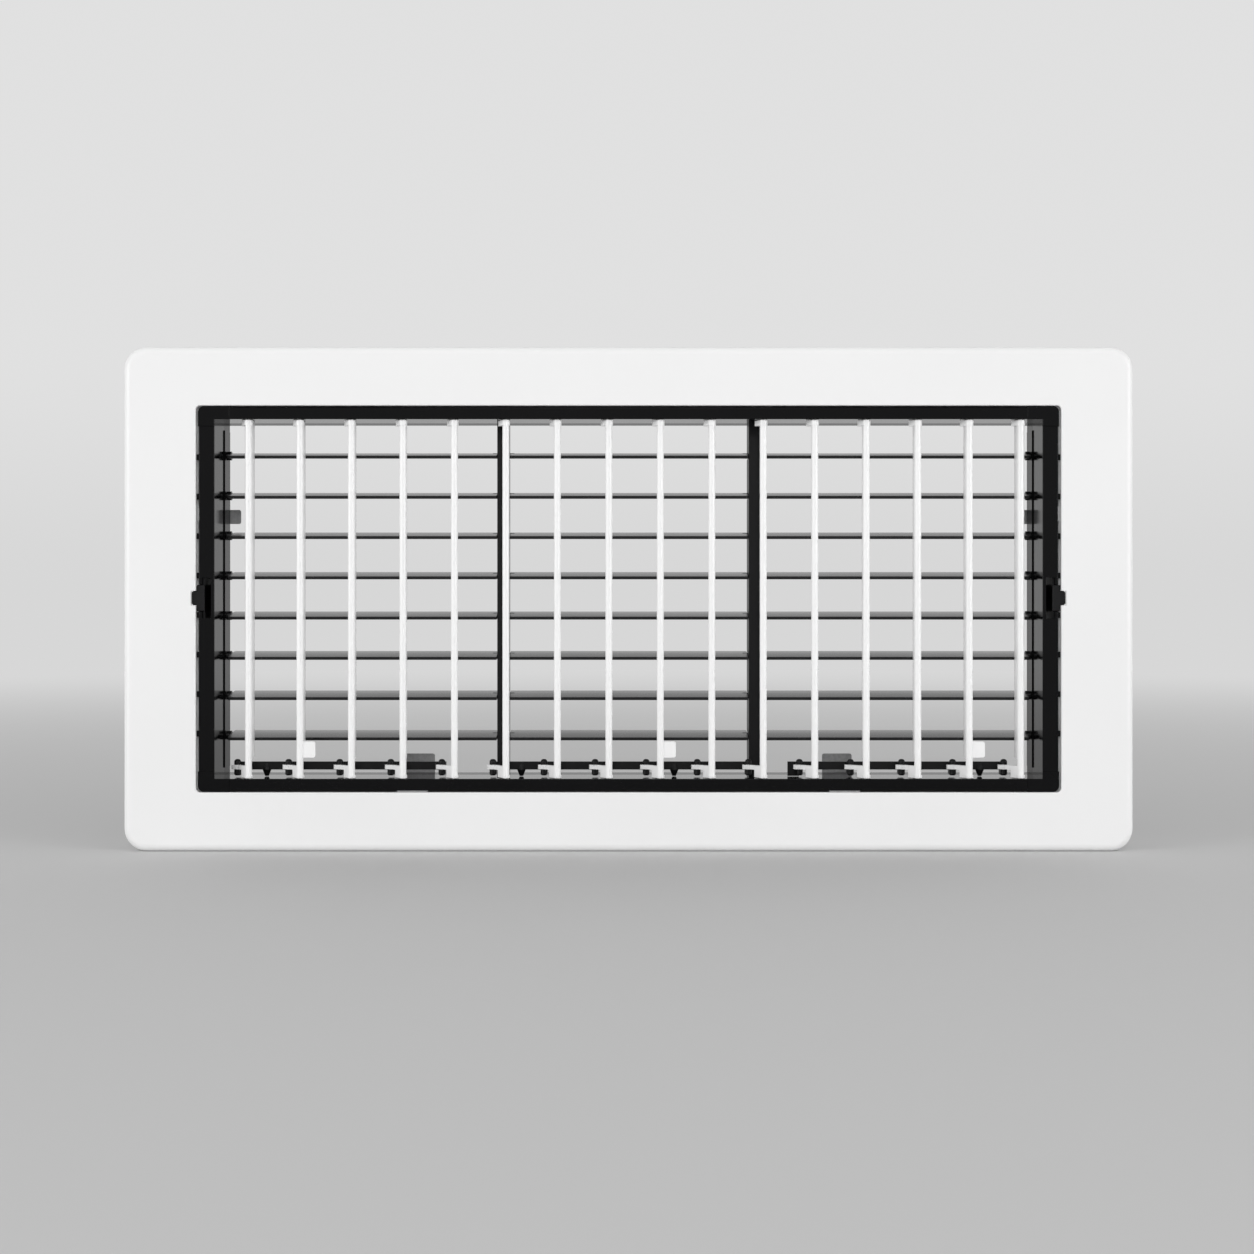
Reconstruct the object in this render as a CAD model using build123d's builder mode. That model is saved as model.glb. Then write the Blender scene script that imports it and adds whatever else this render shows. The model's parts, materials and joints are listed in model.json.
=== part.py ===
from build123d import *
import os
from math import cos, radians, sin

# Supply air register with a removable double-deflection core.
# Seen from the front: +X right, +Z up, +Y back into the wall.
# The origin is the centre of the opening, in the plane where the face frame meets the wall.

# Face frame
opening_width = 452.0
opening_height = 202.0
opening_corner = 2.3
side_margin = 38.0
top_margin = 31.0
frame_depth = 8.0
frame_skin = 2.2
frame_rim = 2.2
frame_corner = 12.0
rolled_edge = 4.0
opening_edge = 0.6
ledge_width = 0.7
ledge_depth = 3.8
neck_wall = 2.0
stop_lip_width = 3.0
stop_lip_thickness = 2.0
rib_thickness = 1.6
rib_setback = 0.8
rib_spacing = 84.0

# Core rails
core_recess = 1.0
core_depth = 38.0
core_side_gap = 1.5
core_top_gap = 0.8
side_rail_face = 8.1
top_rail_face = 6.2
rail_wall = 1.6
bearing_strip = 0.6
bearing_strip_depth = 13.0
bearing_strip_setback = 1.0
nib_height = 3.0
nib_setback = 0.6
nib_pitch = 20.65
nib_row_rise = 1.9
edge_round = 0.4

# Corner connectors
corner_leg_across = 16.0
corner_leg_down = 10.0
corner_proud = 0.6
corner_round = 3.0
corner_foot = 1.2
tongue_length = 12.0
tongue_depth = 14.0
tongue_pin_gap = 1.0

# Front blades, upright
front_blade_count = 16
front_left_space = 17.1
front_right_space = 10.7
front_pivot_depth = 3.8
nose_radius = 1.8
tail_radius = 0.6
front_blade_reach = 13.6
collar_radius = 2.2
collar_thickness = 1.5
front_pin_radius = 1.5
front_pin_reach = 2.4
foot_clearance = 10.0
stop_reach = 5.0
stop_tip_radius = 0.9
stop_height = 2.8
gusset_reach = 5.0
gusset_radius = 1.2
crank_radius = 11.0
crank_angle = 42.0
arm_half_width = 0.9
arm_thickness = 2.3
arm_height = 4.1
bulb_radius = 1.7
bulb_tip_radius = 1.1
bulb_overrun = 2.1
trunnion_radius = 0.8
trunnion_length = 1.0
tab_reach = 8.1
tab_height = 8.4
tab_thickness = 1.6
tab_rise = 10.9
tab_round = 1.2

# Groups of front blades: blades in each, the blade with the thumb tab, and the blades beside the bar's feet
group_names = ("left", "middle", "right")
group_sizes = (5, 6, 5)
group_drivers = (1, 8, 14)
group_feet = ((0,), (5, 8), (14,))
group_tails = (0.0, 0.0, 4.0)

# Link bars of the front blades
bar_thickness = 1.8
bar_low = 3.6
bar_high = 7.8
bar_overhang = 2.0
jaw_radius = 1.8
jaw_bottom = 0.8
jaw_top = 7.6
jaw_chamfer = 0.6
jaw_clearance = 0.2
bulb_swing_gap = 0.8
knob_height = 1.8
knob_round = 1.5
foot_offset = 7.5
foot_tip_radius = 1.0
foot_waist_radius = 2.3
foot_waist_height = 3.6
foot_neck_radius = 1.2
foot_height = 6.8
tail_block_width = 6.0
tail_block_height = 4.0

# Rear blades, level
rear_blade_count = 8
rear_top_space = 17.15
rear_bottom_space = 20.85
rear_pivot_depth = 28.5
rear_tilt = 7.5
rear_chord = 20.0
rear_thickness = 2.6
rear_edge = 1.6
hub_radius = 2.4
hub_length = 2.4
journal_radius = 1.5
journal_reach = 1.0
rear_crank = 7.0
lug_radius = 1.8
lug_thickness = 1.5
rear_pin_radius = 1.0
rear_pin_overrun = 0.4

# Rear link
rear_link_thickness = 1.6
rear_link_width = 3.0
rear_link_boss = 2.3
rear_link_end = 4.0

# Mullions
mullion_offset = 67.0
mullion_width = 5.8
mullion_setback = 1.0
mullion_blade_gap = 1.4
tenon_width = 3.0
tenon_depth = 6.0

# Latches
latch_rise = 0.5
latch_travel = 3.2
latch_block_height = 13.6
latch_block_inset = 0.3
latch_plate_height = 24.0
latch_plate_thickness = 1.2
latch_plate_depth = 14.0
tongue_grip_height = 7.3
tongue_grip_reach = 2.4
tongue_grip_depth = 2.4
tongue_grip_chamfer = 0.8
bolt_height = 10.0
bolt_front = 9.0
bolt_depth = 4.0
bolt_reach = 2.2
window_end_gap = 3.6
web_thickness = 1.2

# Spring clips
clip_thickness = 0.6
clip_plate_thickness = 1.0
clip_return = 9.0
clip_round = 1.2
bottom_clip_offset = 113.0
bottom_clip_width = 16.0
bottom_clip_tab = 10.2
side_clip_rise = 44.5
side_clip_width = 7.6
side_clip_tab = 6.2

# Clearances
running_clearance = 0.08
end_play = 0.25
sliding_clearance = 0.2
seat_clearance = 0.1
cut_margin = 1.0

# Places worked out from the sizes above
face_width = opening_width + 2 * side_margin
face_height = opening_height + 2 * top_margin
neck_width = opening_width + 2 * neck_wall
neck_height = opening_height + 2 * neck_wall
core_front = core_recess - frame_depth
core_rear = core_front + core_depth
seat_depth = core_rear + corner_foot
neck_rear = seat_depth + stop_lip_thickness
core_half_width = opening_width / 2 - core_side_gap
core_half_height = opening_height / 2 - core_top_gap
inner_half_width = core_half_width - side_rail_face
inner_half_height = core_half_height - top_rail_face
inner_height = 2 * inner_half_height
floor = -inner_half_height
strip_half_width = inner_half_width - bearing_strip
nib_reach = core_side_gap - sliding_clearance
nib_depth = ledge_depth - core_recess - nib_setback - sliding_clearance
latch_block_depth = ledge_depth - core_recess - latch_block_inset - sliding_clearance
across_half_length = core_half_width - corner_leg_across
down_half_length = core_half_height - corner_leg_down
front_pivot = core_front + front_pivot_depth
front_pitch = (2 * inner_half_width - front_left_space - front_right_space) / (front_blade_count - 1)
front_blade_places = [front_left_space - inner_half_width + front_pitch * i for i in range(front_blade_count)]
rear_pivot = core_front + rear_pivot_depth
rear_pitch = (inner_height - rear_top_space - rear_bottom_space) / (rear_blade_count - 1)
rear_blade_places = [inner_half_height - rear_top_space - rear_pitch * i for i in range(rear_blade_count)]
nib_places = [nib_row_rise + nib_pitch * (i - (rear_blade_count - 1) / 2) for i in range(rear_blade_count)]
mullion_front = front_pivot + front_blade_reach + tail_radius + mullion_blade_gap
mullion_depth = core_rear - mullion_setback - mullion_front
mullion_places = (-mullion_offset, mullion_offset)
mullion_gap = mullion_width + 4 * sliding_clearance
rear_half_span = strip_half_width - end_play - hub_length
journal_slot = 2 * (journal_radius + running_clearance)
journal_slot_run = core_rear - rear_pivot
lug_x = -(inner_half_width + rail_wall + end_play)
rear_link_x = lug_x - lug_thickness - end_play
rear_pin_length = end_play + rear_link_thickness + rear_pin_overrun
outer_wall_inside = core_half_width - rail_wall
latch_window_half = latch_block_height / 2 + sliding_clearance + seat_clearance
latch_inner = outer_wall_inside - seat_clearance - latch_plate_thickness
latch_window_inner = latch_inner - latch_travel - sliding_clearance


def upright(depth):
    """Plane across the register at a depth, drawn as it is seen from the front."""
    return Plane.XZ.offset(-depth)


def sideways(place):
    """Plane across the register's length, drawn with depth to the right and height up."""
    return Plane(origin=(place, 0, 0), x_dir=(0, 1, 0), z_dir=(1, 0, 0))


def write(piece, name):
    """Label a finished piece and write it as its own file."""
    piece.label = name
    export_step(piece, f"parts/{name}.step")


def face_frame():
    """White moulded frame: rolled flange, hollow behind, with the neck, its side ledges and its stop lip."""
    side_space = side_margin - neck_wall - frame_rim
    top_space = top_margin - neck_wall - frame_rim
    hollow = frame_depth - frame_skin
    across_ribs = int(neck_width / rib_spacing)
    down_ribs = int(neck_height / rib_spacing)
    with BuildPart() as frame:
        with BuildSketch(upright(0)):
            RectangleRounded(face_width, face_height, frame_corner)
        extrude(amount=frame_depth)
        fillet(frame.faces().sort_by(Axis.Y)[0].edges(), min(rolled_edge, frame_depth - frame_skin))
        with BuildSketch(upright(0)):
            RectangleRounded(face_width - 2 * frame_rim, face_height - 2 * frame_rim, frame_corner - frame_rim)
            Rectangle(neck_width, neck_height, mode=Mode.SUBTRACT)
        extrude(amount=hollow, mode=Mode.SUBTRACT)
        with BuildSketch(upright(-rib_setback)):
            with GridLocations(rib_spacing, neck_height + top_space, across_ribs, 2):
                Rectangle(rib_thickness, top_space)
            with GridLocations(neck_width + side_space, rib_spacing, 2, down_ribs):
                Rectangle(side_space, rib_thickness)
        extrude(amount=hollow - rib_setback)
        with BuildSketch(upright(neck_rear)):
            RectangleRounded(neck_width, neck_height, opening_corner + neck_wall)
        extrude(amount=neck_rear + hollow)
        with BuildSketch(upright(seat_depth)):
            RectangleRounded(opening_width - 2 * ledge_width, opening_height, opening_corner)
        extrude(amount=seat_depth + frame_depth, mode=Mode.SUBTRACT)
        with BuildSketch(upright(ledge_depth - frame_depth)):
            RectangleRounded(opening_width, opening_height, opening_corner)
        extrude(amount=ledge_depth, mode=Mode.SUBTRACT)
        with BuildSketch(upright(neck_rear)):
            Rectangle(opening_width - 2 * stop_lip_width, opening_height - 2 * stop_lip_width)
        extrude(amount=neck_rear - seat_depth, mode=Mode.SUBTRACT)
        mouth = frame.faces().filter_by(Plane.XZ).sort_by(Axis.Y)[0]
        fillet(mouth.inner_wires()[0].edges(), opening_edge)
        with BuildSketch(upright(-frame_depth + tongue_grip_depth + sliding_clearance)):
            with Locations((0, latch_rise)):
                Rectangle(
                    opening_width + 2 * (tongue_grip_reach + sliding_clearance),
                    tongue_grip_height + 2 * sliding_clearance,
                )
        extrude(amount=tongue_grip_depth + cut_margin, mode=Mode.SUBTRACT)
        with BuildSketch(upright(core_front + bolt_front + bolt_depth + sliding_clearance)):
            with Locations((0, latch_rise)):
                Rectangle(
                    opening_width + 2 * (bolt_reach + sliding_clearance),
                    bolt_height + 2 * sliding_clearance,
                )
        extrude(amount=bolt_depth + 2 * sliding_clearance, mode=Mode.SUBTRACT)
    return frame.part


def across_rail(side):
    """Top (side 1) or bottom (side -1) channel rail, with the holes for the front blades' pins."""
    inner_face = side * inner_half_height
    centre = side * (core_half_height - top_rail_face / 2)
    with BuildPart() as rail:
        with BuildSketch(sideways(-across_half_length)):
            with Locations((core_front + core_depth / 2, centre)):
                Rectangle(core_depth, top_rail_face)
            with Locations((core_front + rail_wall + core_depth / 2, centre)):
                Rectangle(core_depth, top_rail_face - 2 * rail_wall, mode=Mode.SUBTRACT)
        extrude(amount=2 * across_half_length)
        fillet(rail.edges().filter_by(Axis.X).group_by(Axis.Y)[0], edge_round)
        with BuildSketch(Plane.XY.offset(inner_face)):
            with Locations(*[(x, front_pivot) for x in front_blade_places]):
                Circle(front_pin_radius + running_clearance)
            with Locations(*[(x, mullion_front + mullion_depth / 2) for x in mullion_places]):
                Rectangle(tenon_width + 2 * seat_clearance, tenon_depth + 2 * seat_clearance)
        extrude(amount=side * rail_wall, mode=Mode.SUBTRACT)
    return rail.part


def down_rail(side):
    """Left (side -1) or right (side 1) channel rail, with bearings, spacer nibs and the latch window.

    The window is open past both ends of the latch's block, and a web in the channel backs it. The left
    rail's bearings are open to the back, for the axles that carry the rear link's lugs.
    """
    centre = side * (core_half_width - side_rail_face / 2)
    strip_centre = core_rear - bearing_strip_setback - bearing_strip_depth / 2
    web_front = core_front + rail_wall + latch_plate_depth + 2 * sliding_clearance
    window_start = core_front - cut_margin
    window_end = core_front + bolt_front + bolt_depth + sliding_clearance
    window_width = core_half_width + nib_reach + cut_margin - latch_window_inner
    with BuildPart() as rail:
        with BuildSketch(Plane.XY.offset(-down_half_length)):
            with Locations((centre, core_front + core_depth / 2)):
                Rectangle(side_rail_face, core_depth)
            with Locations((centre, core_front + rail_wall + core_depth / 2)):
                Rectangle(side_rail_face - 2 * rail_wall, core_depth, mode=Mode.SUBTRACT)
            with Locations((side * (inner_half_width - bearing_strip / 2), strip_centre)):
                Rectangle(bearing_strip, bearing_strip_depth)
        extrude(amount=2 * down_half_length)
        fillet(rail.edges().filter_by(Axis.Z).group_by(Axis.Y)[0], edge_round)
        with BuildSketch(sideways(side * core_half_width)):
            with Locations(*[(core_front + nib_setback + nib_depth / 2, z) for z in nib_places]):
                Rectangle(nib_depth, nib_height)
        extrude(amount=side * nib_reach)
        with BuildSketch(sideways(side * strip_half_width)):
            with Locations(*[(rear_pivot, z) for z in rear_blade_places]):
                Circle(journal_slot / 2)
            if side < 0:
                with Locations(*[(rear_pivot + journal_slot_run / 2, z) for z in rear_blade_places]):
                    Rectangle(journal_slot_run, journal_slot)
        extrude(amount=side * (bearing_strip + rail_wall), mode=Mode.SUBTRACT)
        with BuildSketch(upright(web_front)):
            with Locations((centre, latch_rise)):
                Rectangle(side_rail_face - 2 * rail_wall, 2 * latch_window_half)
        extrude(amount=-web_thickness)
        with BuildSketch(upright(core_front + rail_wall)):
            with Locations((side * (latch_window_inner + outer_wall_inside) / 2, latch_rise)):
                Rectangle(outer_wall_inside - latch_window_inner, 2 * (latch_window_half + window_end_gap))
        extrude(amount=rail_wall, mode=Mode.SUBTRACT)
        with BuildSketch(sideways(side * latch_window_inner)):
            with Locations(((window_start + window_end) / 2, latch_rise)):
                Rectangle(window_end - window_start, 2 * latch_window_half)
        extrude(amount=side * window_width, mode=Mode.SUBTRACT)
    return rail.part


def corner(across, up):
    """Corner connector: an open-backed elbow with a tongue into the channel of each rail beside it."""
    outer_x = across * (core_half_width + corner_proud)
    outer_z = up * (core_half_height + corner_proud)
    leg_across = corner_leg_across + corner_proud
    leg_down = corner_leg_down + corner_proud
    face_across = top_rail_face + corner_proud
    face_down = side_rail_face + corner_proud
    depth = core_depth + corner_foot
    tongue_front = front_pivot + front_pin_radius + tongue_pin_gap
    tongue_centre = tongue_front + tongue_depth / 2
    tongue_across = top_rail_face - 2 * (rail_wall + seat_clearance)
    tongue_down = side_rail_face - 2 * (rail_wall + seat_clearance)
    tongue_run = tongue_length + rail_wall
    with BuildPart() as elbow:
        with BuildSketch(upright(core_front)):
            with Locations((outer_x - across * leg_across / 2, outer_z - up * face_across / 2)):
                Rectangle(leg_across, face_across)
            with Locations((outer_x - across * face_down / 2, outer_z - up * leg_down / 2)):
                Rectangle(face_down, leg_down)
        extrude(amount=-depth)
        upright_edges = elbow.edges().filter_by(Axis.Y)
        fillet(upright_edges.sort_by_distance((outer_x, core_front, outer_z))[0], corner_round)
        fillet(elbow.faces().sort_by(Axis.Y)[0].edges(), edge_round)
        with BuildSketch(upright(core_front + rail_wall)):
            with Locations((outer_x - across * leg_across / 2, outer_z - up * face_across / 2)):
                Rectangle(leg_across - 2 * rail_wall, face_across - 2 * rail_wall)
            with Locations((outer_x - across * face_down / 2, outer_z - up * leg_down / 2)):
                Rectangle(face_down - 2 * rail_wall, leg_down - 2 * rail_wall)
        extrude(amount=-depth, mode=Mode.SUBTRACT)
        with BuildSketch(sideways(across * (across_half_length + rail_wall))):
            with Locations((tongue_centre, up * (core_half_height - top_rail_face / 2))):
                Rectangle(tongue_depth, tongue_across)
        extrude(amount=-across * tongue_run)
        with BuildSketch(Plane.XY.offset(up * (down_half_length + rail_wall))):
            with Locations((across * (core_half_width - side_rail_face / 2), tongue_centre)):
                Rectangle(tongue_down, tongue_depth)
        extrude(amount=-up * tongue_run)
    return elbow.part


def mullion(place):
    """Upright that carries the rear blades' middle journals in slots open to the back."""
    with BuildPart() as bar:
        with BuildSketch(upright(mullion_front)):
            with Locations((place, 0)):
                Rectangle(mullion_width, inner_height)
        extrude(amount=-mullion_depth)
        with BuildSketch(Plane.XY.offset(-inner_half_height - rail_wall)):
            with Locations((place, mullion_front + mullion_depth / 2)):
                Rectangle(tenon_width, tenon_depth)
        extrude(amount=inner_height + 2 * rail_wall)
        with BuildSketch(sideways(place)):
            with Locations(*[(rear_pivot, z) for z in rear_blade_places]):
                Circle(journal_slot / 2)
            with Locations(*[(rear_pivot + journal_slot_run / 2, z) for z in rear_blade_places]):
                Rectangle(journal_slot_run, journal_slot)
        extrude(amount=mullion_width / 2 + cut_margin, both=True, mode=Mode.SUBTRACT)
    return bar.part


def front_blade(place, has_tab):
    """White upright blade: tapered section, pivot pins, stop lug on top, and the crank arm for its link bar."""
    stand = Plane(origin=(place, front_pivot, floor))
    crank_way = Vector(-sin(radians(crank_angle)), cos(radians(crank_angle)))
    crank = crank_way * crank_radius
    bulb_tip = crank - Vector(bulb_overrun, 0)
    body_top = inner_height - end_play
    with BuildPart() as blade:
        with BuildSketch(stand.offset(foot_clearance)):
            Circle(nose_radius)
            with Locations((0, front_blade_reach)):
                Circle(tail_radius)
            make_hull()
        extrude(amount=body_top - foot_clearance)
        with BuildSketch(stand.offset(end_play)):
            Circle(nose_radius)
        extrude(amount=foot_clearance - end_play)
        with BuildSketch(stand.offset(end_play)):
            Circle(nose_radius)
            with Locations(crank_way * gusset_reach):
                Circle(gusset_radius)
            make_hull()
        extrude(amount=arm_height + arm_thickness - end_play)
        with BuildSketch(stand.offset(end_play)):
            Circle(collar_radius)
        extrude(amount=collar_thickness)
        with BuildSketch(stand.offset(body_top)):
            Circle(collar_radius)
            with Locations(crank_way * stop_reach):
                Circle(stop_tip_radius)
            make_hull()
        extrude(amount=-stop_height)
        with BuildSketch(stand.offset(-front_pin_reach)):
            Circle(front_pin_radius)
        extrude(amount=front_pin_reach + end_play)
        with BuildSketch(stand.offset(body_top)):
            Circle(front_pin_radius)
        extrude(amount=front_pin_reach + end_play)
        with BuildSketch(stand.offset(arm_height)):
            Circle(arm_half_width)
            with Locations(crank):
                Circle(arm_half_width)
            make_hull()
        extrude(amount=arm_thickness)
        with BuildSketch(stand.offset(arm_height)):
            with Locations(crank):
                Circle(bulb_radius)
            with Locations(bulb_tip):
                Circle(bulb_tip_radius)
            make_hull()
        extrude(amount=arm_thickness)
        with BuildSketch(stand.offset(arm_height - trunnion_length)):
            with Locations(crank):
                Circle(trunnion_radius)
        extrude(amount=arm_thickness + 2 * trunnion_length)
        if has_tab:
            with BuildSketch(stand.offset(tab_rise)):
                with Locations((tab_reach / 2, 0)):
                    Rectangle(tab_reach, tab_thickness)
            extrude(amount=tab_height)
            tip = stand.from_local_coords(Vector(tab_reach, 0, tab_rise + tab_height / 2))
            tab_ends = blade.edges().filter_by(Axis(stand.origin, stand.y_dir)).sort_by_distance(tip)[:2]
            fillet(tab_ends, tab_round)
    return blade.part


def link_bar(first, count, feet, tail):
    """Bar behind the crank arms of one group: jaws over and under each bulb, and feet on the floor."""
    swing = radians(crank_angle)
    bulb_depth = front_pivot + crank_radius * cos(swing)
    bulbs = [x - crank_radius * sin(swing) for x in front_blade_places[first:first + count]]
    bar_face = bulb_depth + bulb_radius + bulb_swing_gap
    bar_depth = bar_face + bar_thickness / 2
    bar_left = bulbs[0] - bar_overhang - tail
    bar_right = bulbs[-1] + bar_overhang
    jaw_run = bar_face + bar_thickness - bulb_depth
    slot_low = arm_height - jaw_clearance
    slot_high = arm_height + arm_thickness + jaw_clearance
    with BuildPart() as bar:
        with BuildSketch(Plane.XY.offset(floor + jaw_bottom)):
            with Locations(*[(x, bulb_depth) for x in bulbs]):
                Circle(jaw_radius)
            with Locations(*[(x, bulb_depth + jaw_run / 2) for x in bulbs]):
                Rectangle(2 * jaw_radius, jaw_run)
        extrude(amount=jaw_top - jaw_bottom)
        chamfer(bar.faces().group_by(Axis.Z)[0].edges(), jaw_chamfer)
        with BuildSketch(Plane.XY.offset(floor + jaw_top)):
            with Locations(*[(x, bulb_depth) for x in bulbs]):
                Circle(jaw_radius)
        extrude(amount=knob_height)
        fillet(bar.faces().group_by(Axis.Z)[-1].edges(), knob_round)
        with BuildSketch(Plane.XY.offset(floor + slot_low)):
            with Locations(*[(x, bar_face) for x in bulbs]):
                Rectangle(4 * jaw_radius, 4 * jaw_radius, align=(Align.CENTER, Align.MAX))
        extrude(amount=slot_high - slot_low, mode=Mode.SUBTRACT)
        with BuildSketch(Plane.XY.offset(floor + jaw_bottom)):
            with Locations(*[(x, bulb_depth) for x in bulbs]):
                Circle(trunnion_radius + running_clearance)
        extrude(amount=jaw_top - jaw_bottom, mode=Mode.SUBTRACT)
        with BuildSketch(Plane.XY.offset(floor + bar_low)):
            with Locations(((bar_left + bar_right) / 2, bar_depth)):
                Rectangle(bar_right - bar_left, bar_thickness)
        extrude(amount=bar_high - bar_low)
        for x in [front_blade_places[i] + foot_offset for i in feet]:
            with BuildSketch(upright(bar_depth)):
                with BuildLine():
                    Polyline(
                        (x, floor + end_play),
                        (x + foot_tip_radius, floor + end_play),
                        (x + foot_waist_radius, floor + foot_waist_height),
                        (x + foot_neck_radius, floor + foot_height),
                        (x, floor + foot_height),
                        close=True,
                    )
                make_face()
            revolve(axis=Axis((x, bar_depth, floor), (0, 0, 1)))
        if tail:
            with BuildSketch(Plane.XY.offset(floor + end_play)):
                with Locations((bar_left + tail_block_width / 2, bar_depth)):
                    Rectangle(tail_block_width, bar_thickness)
            extrude(amount=tail_block_height)
    return bar.part


def rear_blade(place):
    """Black level blade in three bays, with end hubs, axles and the rear link's lug inside the left rail."""
    lean = (0, cos(radians(rear_tilt)), sin(radians(rear_tilt)))
    half_chord = rear_chord / 2
    half_edge = rear_edge / 2
    axle_length = hub_length + end_play + bearing_strip + rail_wall + journal_reach

    def section(x):
        return Plane(origin=(x, rear_pivot, place), x_dir=lean, z_dir=(1, 0, 0))

    with BuildPart() as blade:
        with BuildSketch(section(-rear_half_span)):
            with BuildLine():
                ThreePointArc((-half_chord, -half_edge), (0, -rear_thickness / 2), (half_chord, -half_edge))
                Line((half_chord, -half_edge), (half_chord, half_edge))
                ThreePointArc((half_chord, half_edge), (0, rear_thickness / 2), (-half_chord, half_edge))
                Line((-half_chord, half_edge), (-half_chord, -half_edge))
            make_face()
        extrude(amount=2 * rear_half_span)
        for x in mullion_places:
            with BuildSketch(section(x)):
                Rectangle(2 * rear_chord, 2 * rear_chord)
            extrude(amount=mullion_gap / 2, both=True, mode=Mode.SUBTRACT)
            with BuildSketch(section(x)):
                Circle(journal_radius)
            extrude(amount=mullion_gap / 2 + hub_radius, both=True)
        for side in (-1, 1):
            with BuildSketch(section(side * rear_half_span)):
                Circle(hub_radius)
            extrude(amount=side * hub_length)
            with BuildSketch(section(side * rear_half_span)):
                Circle(journal_radius)
            extrude(amount=side * axle_length)
        with BuildSketch(section(lug_x)):
            Circle(lug_radius)
            with Locations((rear_crank, 0)):
                Circle(lug_radius)
            make_hull()
        extrude(amount=-lug_thickness)
        with BuildSketch(section(lug_x - lug_thickness)):
            with Locations((rear_crank, 0)):
                Circle(rear_pin_radius)
        extrude(amount=-rear_pin_length)
    return blade.part


def rear_link():
    """Flat upright bar inside the left rail that joins the lugs of the rear blades."""
    depth = rear_pivot + rear_crank * cos(radians(rear_tilt))
    rise = rear_crank * sin(radians(rear_tilt))
    pins = [z + rise for z in rear_blade_places]
    with BuildPart() as bar:
        with BuildSketch(sideways(rear_link_x)):
            with Locations((depth, (pins[0] + pins[-1]) / 2)):
                Rectangle(rear_link_width, pins[0] - pins[-1] + 2 * rear_link_end)
            with Locations(*[(depth, z) for z in pins]):
                Circle(rear_link_boss)
                Circle(rear_pin_radius + running_clearance, mode=Mode.SUBTRACT)
        extrude(amount=-rear_link_thickness)
    return bar.part


def latch(side):
    """Thumb latch in a side rail: plate in the channel, thumb block, grip over the frame edge, and bolt."""
    plate_front = core_front + rail_wall + sliding_clearance
    frame_edge = opening_width / 2
    grip_front = core_front + latch_block_inset
    grip_rear = -frame_depth + tongue_grip_depth
    with BuildPart() as slider:
        with BuildSketch(sideways(side * latch_inner)):
            with Locations((plate_front + latch_plate_depth / 2, latch_rise)):
                Rectangle(latch_plate_depth, latch_plate_height)
        extrude(amount=side * latch_plate_thickness)
        with BuildSketch(sideways(side * latch_inner)):
            with Locations((grip_front + latch_block_depth / 2, latch_rise)):
                Rectangle(latch_block_depth, latch_block_height)
        extrude(amount=side * (frame_edge - sliding_clearance - latch_inner))
        with BuildSketch(sideways(side * latch_inner)):
            with Locations(((grip_front + grip_rear) / 2, latch_rise)):
                Rectangle(grip_rear - grip_front, tongue_grip_height)
        extrude(amount=side * (frame_edge + tongue_grip_reach - latch_inner))
        grip_edges = slider.edges().filter_by(Axis.Y).group_by(Axis.X)[0 if side < 0 else -1]
        chamfer(grip_edges, tongue_grip_chamfer)
        fillet(slider.faces().sort_by(Axis.Y)[0].edges(), edge_round)
        with BuildSketch(sideways(side * latch_inner)):
            with Locations((core_front + bolt_front + bolt_depth / 2, latch_rise)):
                Rectangle(bolt_depth, bolt_height)
        extrude(amount=side * (frame_edge + bolt_reach - latch_inner))
    return slider.part


def side_clip(side):
    """Spring clip over a side rail's outer wall, with its tab turned in behind the core."""
    leaf_front = core_front + nib_setback
    leaf_length = core_depth - nib_setback
    leaf_outside = core_half_width + clip_thickness
    tab_tip = inner_half_width - side_clip_tab
    with BuildPart() as clip:
        with BuildSketch(Plane.XY.offset(side_clip_rise - side_clip_width / 2)):
            with Locations((side * (core_half_width + clip_thickness / 2), leaf_front + leaf_length / 2)):
                Rectangle(clip_thickness, leaf_length)
            with Locations((side * (tab_tip + leaf_outside) / 2, core_rear + clip_plate_thickness / 2)):
                Rectangle(leaf_outside - tab_tip, clip_plate_thickness)
            with Locations((side * (outer_wall_inside - clip_thickness / 2), core_rear - clip_return / 2)):
                Rectangle(clip_thickness, clip_return)
        extrude(amount=side_clip_width)
        tab_corners = clip.edges().filter_by(Axis.Y).sort_by_distance((0, core_rear, side_clip_rise))[:2]
        fillet(tab_corners, clip_round)
    return clip.part


def bottom_clip(side):
    """Spring clip over the bottom rail's outer wall, with its tab standing up behind the core."""
    leaf_front = core_front + nib_setback
    leaf_length = core_depth - nib_setback
    leaf_outside = core_half_height + clip_thickness
    tab_tip = inner_half_height - bottom_clip_tab
    with BuildPart() as clip:
        with BuildSketch(sideways(side * bottom_clip_offset)):
            with Locations((leaf_front + leaf_length / 2, -core_half_height - clip_thickness / 2)):
                Rectangle(leaf_length, clip_thickness)
            with Locations((core_rear + clip_plate_thickness / 2, -(tab_tip + leaf_outside) / 2)):
                Rectangle(clip_plate_thickness, leaf_outside - tab_tip)
            with Locations((core_rear - clip_return / 2, -core_half_height + rail_wall + clip_thickness / 2)):
                Rectangle(clip_return, clip_thickness)
        extrude(amount=bottom_clip_width / 2, both=True)
        fillet(clip.edges().filter_by(Axis.Y).group_by(Axis.Z)[-1], clip_round)
    return clip.part


os.makedirs("parts", exist_ok=True)

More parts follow.
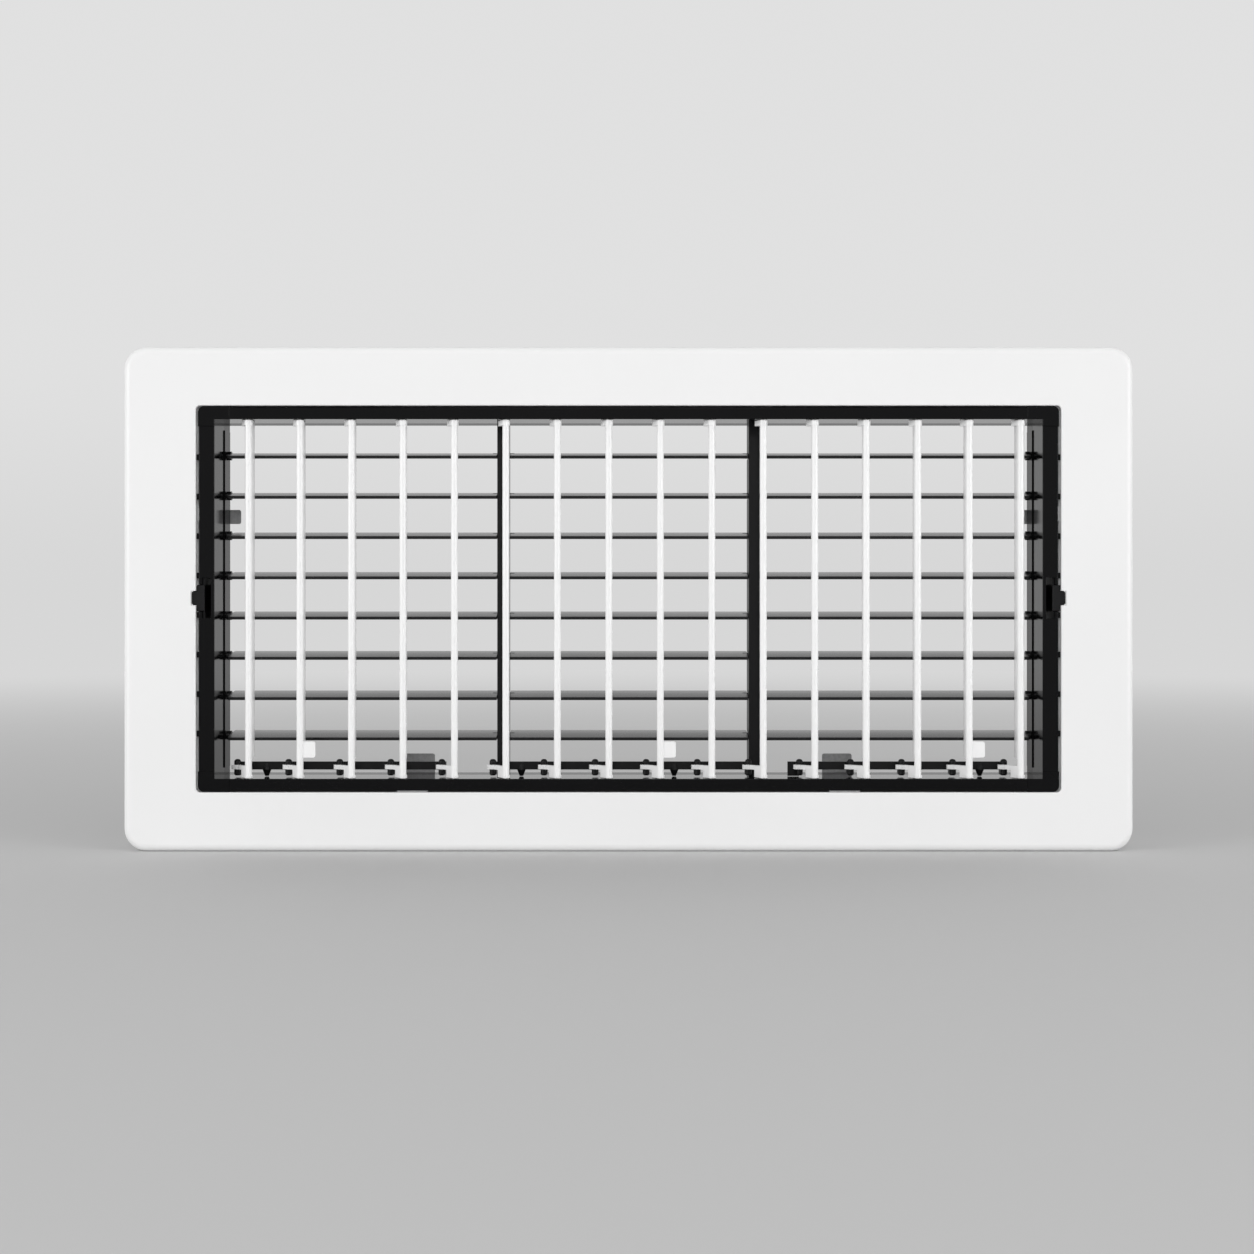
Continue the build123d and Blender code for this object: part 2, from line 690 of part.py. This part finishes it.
write(face_frame(), "face_frame")
write(across_rail(1), "top_rail")
write(across_rail(-1), "bottom_rail")
for side, word in ((-1, "left"), (1, "right")):
    write(down_rail(side), f"{word}_rail")
    write(corner(side, 1), f"corner_top_{word}")
    write(corner(side, -1), f"corner_bottom_{word}")
    write(mullion(side * mullion_offset), f"{word}_mullion")
    write(latch(side), f"{word}_latch")
    write(side_clip(side), f"side_clip_{word}")
    write(bottom_clip(side), f"bottom_clip_{word}")

first_blade = 0
for group, count in enumerate(group_sizes):
    for i in range(first_blade, first_blade + count):
        write(front_blade(front_blade_places[i], i in group_drivers), f"front_blade_{i + 1:02d}")
    bar = link_bar(first_blade, count, group_feet[group], group_tails[group])
    write(bar, f"{group_names[group]}_link")
    first_blade += count

for i, place in enumerate(rear_blade_places):
    write(rear_blade(place), f"rear_blade_{i + 1}")
write(rear_link(), "rear_link")
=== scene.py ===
"""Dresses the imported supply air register: moulded finishes, stage, light and camera."""

from __future__ import annotations

import json
import logging
import math
from dataclasses import dataclass, field
from enum import Enum

import bpy
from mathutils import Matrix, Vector

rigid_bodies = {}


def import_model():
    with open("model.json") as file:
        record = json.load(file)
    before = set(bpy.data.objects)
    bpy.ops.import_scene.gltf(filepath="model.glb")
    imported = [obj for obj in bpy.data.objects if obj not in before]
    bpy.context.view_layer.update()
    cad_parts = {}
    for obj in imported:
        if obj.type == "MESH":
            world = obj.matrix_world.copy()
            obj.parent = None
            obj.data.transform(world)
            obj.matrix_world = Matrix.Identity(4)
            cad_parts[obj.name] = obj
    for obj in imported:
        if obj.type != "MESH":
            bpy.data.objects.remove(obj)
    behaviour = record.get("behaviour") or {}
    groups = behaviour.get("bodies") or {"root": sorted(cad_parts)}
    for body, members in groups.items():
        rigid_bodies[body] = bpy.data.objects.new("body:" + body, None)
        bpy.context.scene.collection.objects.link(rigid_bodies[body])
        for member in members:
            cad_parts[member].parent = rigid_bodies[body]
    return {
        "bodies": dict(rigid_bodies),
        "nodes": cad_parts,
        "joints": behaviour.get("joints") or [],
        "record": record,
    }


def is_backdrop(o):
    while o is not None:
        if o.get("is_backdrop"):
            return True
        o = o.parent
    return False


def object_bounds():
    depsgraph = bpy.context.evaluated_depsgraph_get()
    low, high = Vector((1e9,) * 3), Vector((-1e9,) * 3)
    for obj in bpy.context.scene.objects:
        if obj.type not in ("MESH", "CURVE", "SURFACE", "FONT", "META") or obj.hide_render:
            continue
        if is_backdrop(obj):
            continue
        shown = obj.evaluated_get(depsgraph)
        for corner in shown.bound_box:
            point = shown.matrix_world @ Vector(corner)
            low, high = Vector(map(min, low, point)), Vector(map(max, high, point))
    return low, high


LOG = logging.getLogger("register")
Colour = tuple[float, float, float]
Point = tuple[float, float, float]


class Slot(Enum):
    """Material slots of the record that the finishes belong to."""

    WHITE = "white_plastic"
    BLACK = "black_plastic"
    STEEL = "spring_steel"


def add_node(tree: bpy.types.NodeTree, kind: str, place: tuple[float, float]) -> bpy.types.Node:
    """Add one node to a tree.

    Args:
        tree: Node tree of a material, a world or a group.
        kind: Blender's name of the node type.
        place: Position in the editor.

    Returns:
        The new node.
    """
    node = tree.nodes.new(kind)
    node.location = place
    return node


def seen_rays(tree: bpy.types.NodeTree) -> bpy.types.Node:
    """Add a mask of the rays that show the background: straight, mirrored or through clear pieces.

    Args:
        tree: Node tree of the floor's material or the world.

    Returns:
        Node whose Value is 1 for those rays.
    """
    rays = add_node(tree, "ShaderNodeLightPath", (-900, 700))
    mirrored = add_node(tree, "ShaderNodeMath", (-700, 700))
    mirrored.operation = "MAXIMUM"
    seen = add_node(tree, "ShaderNodeMath", (-500, 700))
    seen.operation = "MAXIMUM"
    links = tree.links
    links.new(rays.outputs["Is Camera Ray"], mirrored.inputs[0])
    links.new(rays.outputs["Is Glossy Ray"], mirrored.inputs[1])
    links.new(mirrored.outputs["Value"], seen.inputs[0])
    links.new(rays.outputs["Is Transmission Ray"], seen.inputs[1])
    return seen


@dataclass(frozen=True)
class MouldGrain:
    """Shared effect: the fine texture and the slow haze of an injection moulding."""

    name: str = "mould_grain"
    grain_detail: float = 3.0
    haze_detail: float = 2.0

    def build(self) -> bpy.types.ShaderNodeTree:
        """Make the node group once.

        Returns:
            Group with Grain Scale and Haze Scale inputs, and Height, Haze and Fleck outputs.
        """
        existing = bpy.data.node_groups.get(self.name)
        if existing is not None:
            return existing
        group = bpy.data.node_groups.new(self.name, "ShaderNodeTree")
        for socket in ("Grain Scale", "Haze Scale"):
            group.interface.new_socket(socket, in_out="INPUT", socket_type="NodeSocketFloat")
        for socket in ("Height", "Haze", "Fleck"):
            group.interface.new_socket(socket, in_out="OUTPUT", socket_type="NodeSocketFloat")
        source = add_node(group, "NodeGroupInput", (-900, 0))
        result = add_node(group, "NodeGroupOutput", (500, 0))
        places = add_node(group, "ShaderNodeTexCoord", (-900, 260))
        grain = add_node(group, "ShaderNodeTexNoise", (-500, 200))
        grain.inputs["Detail"].default_value = self.grain_detail
        haze = add_node(group, "ShaderNodeTexNoise", (-500, -60))
        haze.inputs["Detail"].default_value = self.haze_detail
        fleck = add_node(group, "ShaderNodeTexVoronoi", (-500, -320))
        links = group.links
        for texture in (grain, haze, fleck):
            links.new(places.outputs["Object"], texture.inputs["Vector"])
        links.new(source.outputs["Grain Scale"], grain.inputs["Scale"])
        links.new(source.outputs["Haze Scale"], haze.inputs["Scale"])
        links.new(source.outputs["Grain Scale"], fleck.inputs["Scale"])
        links.new(grain.outputs["Fac"], result.inputs["Height"])
        links.new(haze.outputs["Fac"], result.inputs["Haze"])
        links.new(fleck.outputs["Distance"], result.inputs["Fleck"])
        return group


@dataclass(frozen=True)
class Finish:
    """What the finishes share: a colour and a gloss that wander with the moulding texture."""

    name: str
    dark: Colour
    light: Colour
    smooth: float
    rough: float
    grain_scale: float
    haze_scale: float

    def mottled(
        self, grain: bpy.types.ShaderNodeTree, tint_by: str, gloss_by: str
    ) -> tuple[bpy.types.Material, bpy.types.Node]:
        """Make a material with mottled colour and gloss.

        Args:
            grain: The shared moulding texture.
            tint_by: Output of the texture that the colour follows.
            gloss_by: Output of the texture that the roughness follows.

        Returns:
            The material and its texture node.
        """
        material = bpy.data.materials.new(self.name)
        material.use_nodes = True
        tree = material.node_tree
        shader = tree.nodes["Principled BSDF"]
        texture = add_node(tree, "ShaderNodeGroup", (-900, 100))
        texture.node_tree = grain
        texture.inputs["Grain Scale"].default_value = self.grain_scale
        texture.inputs["Haze Scale"].default_value = self.haze_scale
        tint = add_node(tree, "ShaderNodeMix", (-400, 300))
        tint.data_type = "RGBA"
        tint.inputs["A"].default_value = (*self.dark, 1.0)
        tint.inputs["B"].default_value = (*self.light, 1.0)
        gloss = add_node(tree, "ShaderNodeMapRange", (-400, 60))
        gloss.inputs["To Min"].default_value = self.smooth
        gloss.inputs["To Max"].default_value = self.rough
        links = tree.links
        links.new(texture.outputs[tint_by], tint.inputs["Factor"])
        links.new(texture.outputs[gloss_by], gloss.inputs["Value"])
        links.new(tint.outputs["Result"], shader.inputs["Base Color"])
        links.new(gloss.outputs["Result"], shader.inputs["Roughness"])
        return material, texture


@dataclass(frozen=True)
class MouldedPlastic(Finish):
    """A moulded plastic finish."""

    specular: float
    coat: float
    grain_depth: float
    bump_distance: float = 0.0002
    coat_roughness: float = 0.12

    def build(self, grain: bpy.types.ShaderNodeTree) -> bpy.types.Material:
        """Make the material.

        Args:
            grain: The shared moulding texture.

        Returns:
            The finished material.
        """
        material, texture = self.mottled(grain, "Haze", "Haze")
        tree = material.node_tree
        shader = tree.nodes["Principled BSDF"]
        shader.inputs["Specular IOR Level"].default_value = self.specular
        shader.inputs["Coat Weight"].default_value = self.coat
        shader.inputs["Coat Roughness"].default_value = self.coat_roughness
        bump = add_node(tree, "ShaderNodeBump", (-400, -260))
        bump.inputs["Strength"].default_value = self.grain_depth
        bump.inputs["Distance"].default_value = self.bump_distance
        tree.links.new(texture.outputs["Height"], bump.inputs["Height"])
        tree.links.new(bump.outputs["Normal"], shader.inputs["Normal"])
        return material


@dataclass(frozen=True)
class RailPlastic(MouldedPlastic):
    """Polished core plastic whose rear band, where the bearings are, is left duller by the mould."""

    dull_from: float = 0.0165
    dull_to: float = 0.0175
    dull_rough: float = 0.25

    def build(self, grain: bpy.types.ShaderNodeTree) -> bpy.types.Material:
        """Make the material with its duller rear band.

        Args:
            grain: The shared moulding texture.

        Returns:
            The finished material.
        """
        material = super().build(grain)
        tree = material.node_tree
        shader = tree.nodes["Principled BSDF"]
        places = add_node(tree, "ShaderNodeTexCoord", (-1300, -500))
        split = add_node(tree, "ShaderNodeSeparateXYZ", (-1100, -500))
        band = add_node(tree, "ShaderNodeMapRange", (-900, -500))
        band.inputs["From Min"].default_value = self.dull_from
        band.inputs["From Max"].default_value = self.dull_to
        rough = add_node(tree, "ShaderNodeMix", (-150, 0))
        rough.inputs["B"].default_value = self.dull_rough
        links = tree.links
        polished = shader.inputs["Roughness"].links[0].from_socket
        links.new(places.outputs["Object"], split.inputs["Vector"])
        links.new(split.outputs["Y"], band.inputs["Value"])
        links.new(band.outputs["Result"], rough.inputs["Factor"])
        links.new(polished, rough.inputs["A"])
        links.new(rough.outputs["Result"], shader.inputs["Roughness"])
        return material


@dataclass(frozen=True)
class PlatedSteel(Finish):
    """Dull plated spring steel of the clips."""

    metallic: float

    def build(self, grain: bpy.types.ShaderNodeTree) -> bpy.types.Material:
        """Make the material.

        Args:
            grain: The shared texture, used here for the plating's mottle.

        Returns:
            The finished material.
        """
        material, _ = self.mottled(grain, "Fleck", "Height")
        shader = material.node_tree.nodes["Principled BSDF"]
        shader.inputs["Metallic"].default_value = self.metallic
        return material


FRAME_WHITE = MouldedPlastic(
    name="frame_white",
    dark=(0.83, 0.83, 0.83),
    light=(0.87, 0.87, 0.87),
    smooth=0.34,
    rough=0.46,
    specular=0.45,
    coat=0.0,
    grain_scale=1400.0,
    grain_depth=0.10,
    haze_scale=9.0,
)
BLADE_WHITE = MouldedPlastic(
    name="blade_white",
    dark=(0.87, 0.87, 0.87),
    light=(0.91, 0.91, 0.91),
    smooth=0.28,
    rough=0.38,
    specular=0.5,
    coat=0.0,
    grain_scale=1800.0,
    grain_depth=0.06,
    haze_scale=14.0,
)
RAIL_BLACK = RailPlastic(
    name="rail_black",
    dark=(0.002, 0.002, 0.0022),
    light=(0.004, 0.004, 0.0045),
    smooth=0.10,
    rough=0.16,
    specular=0.12,
    coat=0.0,
    grain_scale=1600.0,
    grain_depth=0.05,
    haze_scale=16.0,
)
REAR_BLACK = MouldedPlastic(
    name="rear_blade_black",
    dark=(0.004, 0.004, 0.0045),
    light=(0.008, 0.008, 0.009),
    smooth=0.20,
    rough=0.30,
    specular=0.3,
    coat=0.18,
    grain_scale=1600.0,
    grain_depth=0.04,
    haze_scale=12.0,
    coat_roughness=0.14,
)
MATT_BLACK = MouldedPlastic(
    name="matt_black",
    dark=(0.004, 0.004, 0.0045),
    light=(0.007, 0.007, 0.0075),
    smooth=0.34,
    rough=0.46,
    specular=0.2,
    coat=0.0,
    grain_scale=2000.0,
    grain_depth=0.08,
    haze_scale=30.0,
)
CLIP_STEEL = PlatedSteel(
    name="clip_steel",
    dark=(0.34, 0.34, 0.345),
    light=(0.45, 0.45, 0.455),
    smooth=0.38,
    rough=0.55,
    metallic=0.6,
    grain_scale=700.0,
    haze_scale=40.0,
)


@dataclass
class Moulding:
    """A family of moulded pieces that share one finish."""

    title: str
    slot: Slot
    finish: MouldedPlastic | PlatedSteel
    nodes: list[str]

    def dress(self, frame: dict, grain: bpy.types.ShaderNodeTree) -> None:
        """Give the pieces their finish.

        Args:
            grain: The shared moulding texture.
        """
        material = self.finish.build(grain)
        for name in self.nodes:
            piece = frame["nodes"][name]
            piece.data.materials.clear()
            piece.data.materials.append(material)
        LOG.info("%s: %d pieces in %s (%s)", self.title, len(self.nodes), self.finish.name, self.slot.value)


@dataclass
class Stage:
    """Plain pale floor that runs into the backdrop without an edge."""

    floor_width: float = 12.0
    floor_colour: Colour = (0.60, 0.60, 0.60)
    floor_roughness: float = 0.9
    backdrop_low: Colour = (0.68, 0.68, 0.68)
    backdrop_high: Colour = (0.75, 0.75, 0.75)
    low_sight: float = 0.0
    high_sight: float = 0.13
    ambient: Colour = (0.60, 0.60, 0.60)
    fade_from: float = 0.25
    fade_to: float = 2.60

    def build(self, low: Point) -> None:
        """Lay the floor and set the world.

        Args:
            low: Lowest corner of the object's box.
        """
        bpy.ops.object.select_all(action="DESELECT")
        bpy.ops.mesh.primitive_plane_add(size=self.floor_width, location=(0.0, 0.0, low[2]))
        floor = bpy.context.active_object
        floor.name = "studio_floor"
        floor.data.materials.append(self.build_floor_paint())
        floor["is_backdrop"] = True
        self.build_world()

    def build_floor_paint(self) -> bpy.types.Material:
        """Make the floor's paint, which fades to the backdrop away from the object.

        Returns:
            The floor's material.
        """
        material = bpy.data.materials.new("studio_pale")
        material.use_nodes = True
        tree = material.node_tree
        paint = tree.nodes["Principled BSDF"]
        paint.inputs["Base Color"].default_value = (*self.floor_colour, 1.0)
        paint.inputs["Roughness"].default_value = self.floor_roughness
        far = add_node(tree, "ShaderNodeEmission", (0, -200))
        far.inputs["Color"].default_value = (*self.backdrop_low, 1.0)
        places = add_node(tree, "ShaderNodeTexCoord", (-900, 200))
        length = add_node(tree, "ShaderNodeVectorMath", (-700, 200))
        length.operation = "LENGTH"
        fade = add_node(tree, "ShaderNodeMapRange", (-500, 200))
        fade.interpolation_type = "SMOOTHSTEP"
        fade.inputs["From Min"].default_value = self.fade_from
        fade.inputs["From Max"].default_value = self.fade_to
        share = add_node(tree, "ShaderNodeMath", (-200, 300))
        share.operation = "MULTIPLY"
        mix = add_node(tree, "ShaderNodeMixShader", (300, 100))
        links = tree.links
        links.new(places.outputs["Object"], length.inputs[0])
        links.new(length.outputs["Value"], fade.inputs["Value"])
        links.new(fade.outputs["Result"], share.inputs[0])
        links.new(seen_rays(tree).outputs["Value"], share.inputs[1])
        links.new(share.outputs["Value"], mix.inputs["Fac"])
        links.new(paint.outputs["BSDF"], mix.inputs[1])
        links.new(far.outputs["Emission"], mix.inputs[2])
        links.new(mix.outputs["Shader"], tree.nodes["Material Output"].inputs["Surface"])
        return material

    def build_world(self) -> None:
        """Set the soft ambient light and the pale backdrop that is seen."""
        world = bpy.data.worlds.new("studio_world")
        bpy.context.scene.world = world
        world.use_nodes = True
        tree = world.node_tree
        light = tree.nodes["Background"]
        light.inputs["Color"].default_value = (*self.ambient, 1.0)
        sight = add_node(tree, "ShaderNodeBackground", (0, -200))
        places = add_node(tree, "ShaderNodeTexCoord", (-1200, -200))
        split = add_node(tree, "ShaderNodeSeparateXYZ", (-1000, -200))
        rise = add_node(tree, "ShaderNodeMapRange", (-800, -100))
        rise.interpolation_type = "SMOOTHSTEP"
        rise.inputs["From Min"].default_value = self.low_sight
        rise.inputs["From Max"].default_value = self.high_sight
        pale = add_node(tree, "ShaderNodeMix", (-500, -100))
        pale.data_type = "RGBA"
        pale.inputs["A"].default_value = (*self.backdrop_low, 1.0)
        pale.inputs["B"].default_value = (*self.backdrop_high, 1.0)
        mix = add_node(tree, "ShaderNodeMixShader", (200, 100))
        links = tree.links
        links.new(places.outputs["Generated"], split.inputs["Vector"])
        links.new(split.outputs["Z"], rise.inputs["Value"])
        links.new(rise.outputs["Result"], pale.inputs["Factor"])
        links.new(pale.outputs["Result"], sight.inputs["Color"])
        links.new(seen_rays(tree).outputs["Value"], mix.inputs["Fac"])
        links.new(light.outputs["Background"], mix.inputs[1])
        links.new(sight.outputs["Background"], mix.inputs[2])
        links.new(mix.outputs["Shader"], tree.nodes["World Output"].inputs["Surface"])


@dataclass(frozen=True)
class Softbox:
    """One large soft lamp."""

    name: str
    place: Point
    width: float
    height: float
    watts: float
    target: Point = (0.0, 0.0, 0.0)

    def build(self) -> None:
        """Hang the lamp and point it at its target."""
        lamp = bpy.data.lights.new(self.name, "AREA")
        lamp.shape = "RECTANGLE"
        lamp.size = self.width
        lamp.size_y = self.height
        lamp.energy = self.watts
        holder = bpy.data.objects.new(self.name, lamp)
        bpy.context.scene.collection.objects.link(holder)
        holder.location = self.place
        aim_at(holder, self.target)


def aim_at(holder: bpy.types.Object, target: Point) -> None:
    """Turn a lamp so that it faces a point.

    Args:
        holder: Object to turn.
        target: Point that it faces.
    """
    direction = Vector(target) - holder.location
    holder.rotation_euler = direction.to_track_quat("-Z", "Y").to_euler()


@dataclass
class FrontCamera:
    """Camera square to the face, placed from the photograph's frame."""

    image_width: float = 1254.0
    face_centre_pixel: tuple[float, float] = (628.5, 599.0)
    metres_per_pixel: float = 0.000522
    distance: float = 1.0
    sensor: float = 36.0
    farthest: float = 50.0

    def build(self, face_depth: float) -> None:
        """Add the camera.

        Args:
            face_depth: Place of the face along Y.
        """
        data = bpy.data.cameras.new("front_camera")
        data.sensor_width = self.sensor
        data.lens = self.sensor * self.distance / (self.image_width * self.metres_per_pixel)
        data.shift_x = (self.image_width / 2 - self.face_centre_pixel[0]) / self.image_width
        data.shift_y = (self.face_centre_pixel[1] - self.image_width / 2) / self.image_width
        data.clip_end = self.farthest
        camera = bpy.data.objects.new("front_camera", data)
        bpy.context.scene.collection.objects.link(camera)
        camera.location = (0.0, face_depth - self.distance, 0.0)
        camera.rotation_euler = (math.pi / 2, 0.0, 0.0)
        bpy.context.scene.camera = camera


@dataclass
class Studio:
    """Stage, lamps and camera together."""

    stage: Stage = field(default_factory=Stage)
    camera: FrontCamera = field(default_factory=FrontCamera)
    lamps: tuple[Softbox, ...] = (
        Softbox("front_softbox", place=(0.0, -2.2, 0.90), width=0.6, height=0.5, watts=5.0),
        Softbox("left_softbox", place=(-2.2, -1.4, 0.30), width=1.4, height=0.7, watts=25.0),
        Softbox("right_softbox", place=(2.2, -1.4, 0.30), width=1.4, height=0.7, watts=25.0),
    )

    def build(self, box: tuple[Point, Point]) -> None:
        """Set up the studio round the object's box.

        Args:
            box: Lowest and highest corners of the object.
        """
        bpy.context.scene.view_settings.view_transform = "Standard"
        self.stage.build(box[0])
        for lamp in self.lamps:
            lamp.build()
        self.camera.build(box[0][1])


def mouldings(frame: dict) -> list[Moulding]:
    """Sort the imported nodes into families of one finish.


    Returns:
        The families, each with its nodes.
    """
    names = sorted(frame["nodes"])
    front = [name for name in names if name.startswith("front_blade")]
    matt = [name for name in names if name.endswith(("_link", "_mullion", "_latch"))]
    rear = [name for name in names if name.startswith("rear_blade")]
    clips = [name for name in names if "clip" in name]
    rails = [name for name in names if name not in {"face_frame", *front, *matt, *rear, *clips}]
    return [
        Moulding("face frame", Slot.WHITE, FRAME_WHITE, ["face_frame"]),
        Moulding("front blades", Slot.WHITE, BLADE_WHITE, front),
        Moulding("core rails", Slot.BLACK, RAIL_BLACK, rails),
        Moulding("rear blades", Slot.BLACK, REAR_BLACK, rear),
        Moulding("links, mullions and latches", Slot.BLACK, MATT_BLACK, matt),
        Moulding("clips", Slot.STEEL, CLIP_STEEL, clips),
    ]


def main() -> None:
    """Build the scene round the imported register."""
    logging.basicConfig(level=logging.INFO, format="%(name)s: %(message)s")
    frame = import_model()
    cad_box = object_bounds()
    grain = MouldGrain().build()
    for moulding in mouldings(frame):
        moulding.dress(frame, grain)
    Studio().build(cad_box)


if __name__ == "__main__":
    main()
